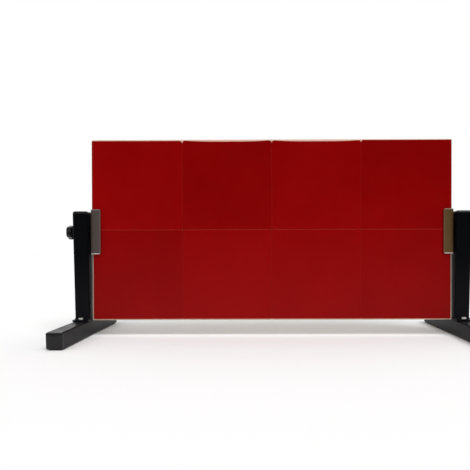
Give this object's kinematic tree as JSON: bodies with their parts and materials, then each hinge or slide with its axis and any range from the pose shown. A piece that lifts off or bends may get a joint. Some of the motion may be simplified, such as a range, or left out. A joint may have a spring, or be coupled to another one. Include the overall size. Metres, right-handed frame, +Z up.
{
  "type": "table tennis rebound board",
  "caption": "Free-standing table tennis rebound board: a rubber-faced panel clamped between two footed uprights, tilting about side pivots and locked by knobs.",
  "frame": {"origin": "on the table, under the middle of the board and of the feet", "axes": "+X along the board's width to the player's right, the rubber face looks towards -Y, +Z up"},
  "size_m": [1.2492, 0.544, 0.593],
  "materials": {
    "red_rubber": "smooth gloss",
    "sponge": "matt",
    "panel_wood": "satin",
    "clamp_plate": "satin bronze grey",
    "black_rubber": "matt",
    "black_paint": "satin powder coat",
    "black_plastic": "fine grain",
    "zinc_steel": "zinc plated"
  },
  "bodies": {
    "stand": {"left_foot_tube": "black_paint", "left_foot_front_cap": "black_plastic", "left_foot_rear_cap": "black_plastic", "left_front_foot_pad": "black_rubber", "left_rear_foot_pad": "black_rubber", "left_upright": "black_paint", "left_upright_cap": "black_plastic", "left_front_base_bolt": "zinc_steel", "left_rear_base_bolt": "zinc_steel", "left_upper_stretcher_bolt": "zinc_steel", "left_lower_stretcher_bolt": "zinc_steel", "left_pivot_bush": "black_plastic", "left_pivot_sleeve": "zinc_steel", "right_foot_tube": "black_paint", "right_foot_front_cap": "black_plastic", "right_foot_rear_cap": "black_plastic", "right_front_foot_pad": "black_rubber", "right_rear_foot_pad": "black_rubber", "right_upright": "black_paint", "right_upright_cap": "black_plastic", "right_front_base_bolt": "zinc_steel", "right_rear_base_bolt": "zinc_steel", "right_upper_stretcher_bolt": "zinc_steel", "right_lower_stretcher_bolt": "zinc_steel", "right_pivot_bush": "black_plastic", "right_pivot_sleeve": "zinc_steel", "rear_stretcher": "black_paint"},
    "board": {"backing_panel": "panel_wood", "sponge_upper_1": "sponge", "sponge_upper_2": "sponge", "sponge_upper_3": "sponge", "sponge_upper_4": "sponge", "sponge_lower_1": "sponge", "sponge_lower_2": "sponge", "sponge_lower_3": "sponge", "sponge_lower_4": "sponge", "top_sheet_upper_1": "red_rubber", "top_sheet_upper_2": "red_rubber", "top_sheet_upper_3": "red_rubber", "top_sheet_upper_4": "red_rubber", "top_sheet_lower_1": "red_rubber", "top_sheet_lower_2": "red_rubber", "top_sheet_lower_3": "red_rubber", "top_sheet_lower_4": "red_rubber", "left_clamp_bracket": "clamp_plate", "left_front_clamp_pad": "black_rubber", "left_rear_clamp_pad": "black_rubber", "left_upper_clamp_screw": "zinc_steel", "left_lower_clamp_screw": "zinc_steel", "left_pivot_stud": "zinc_steel", "right_clamp_bracket": "clamp_plate", "right_front_clamp_pad": "black_rubber", "right_rear_clamp_pad": "black_rubber", "right_upper_clamp_screw": "zinc_steel", "right_lower_clamp_screw": "zinc_steel", "right_pivot_stud": "zinc_steel"},
    "left_clamp_knob": {"left_knob": "black_plastic", "left_knob_washer": "zinc_steel"},
    "right_clamp_knob": {"right_knob": "black_plastic", "right_knob_washer": "zinc_steel"}
  },
  "joints": [
    {"name": "board_tilt", "type": "hinge", "parent": "stand", "child": "board", "pos_m": [0, 0, 0.314], "axis": [1, 0, 0], "range_deg": [-21.2, 28.8]},
    {"name": "left_knob_turn", "type": "hinge", "parent": "board", "child": "left_clamp_knob", "pos_m": [-0.5956, 0, 0.314], "axis": [-1, 0, 0], "range_deg": [0, 270]},
    {"name": "right_knob_turn", "type": "hinge", "parent": "board", "child": "right_clamp_knob", "pos_m": [0.5956, 0, 0.314], "axis": [1, 0, 0], "range_deg": [0, 270]}
  ]
}
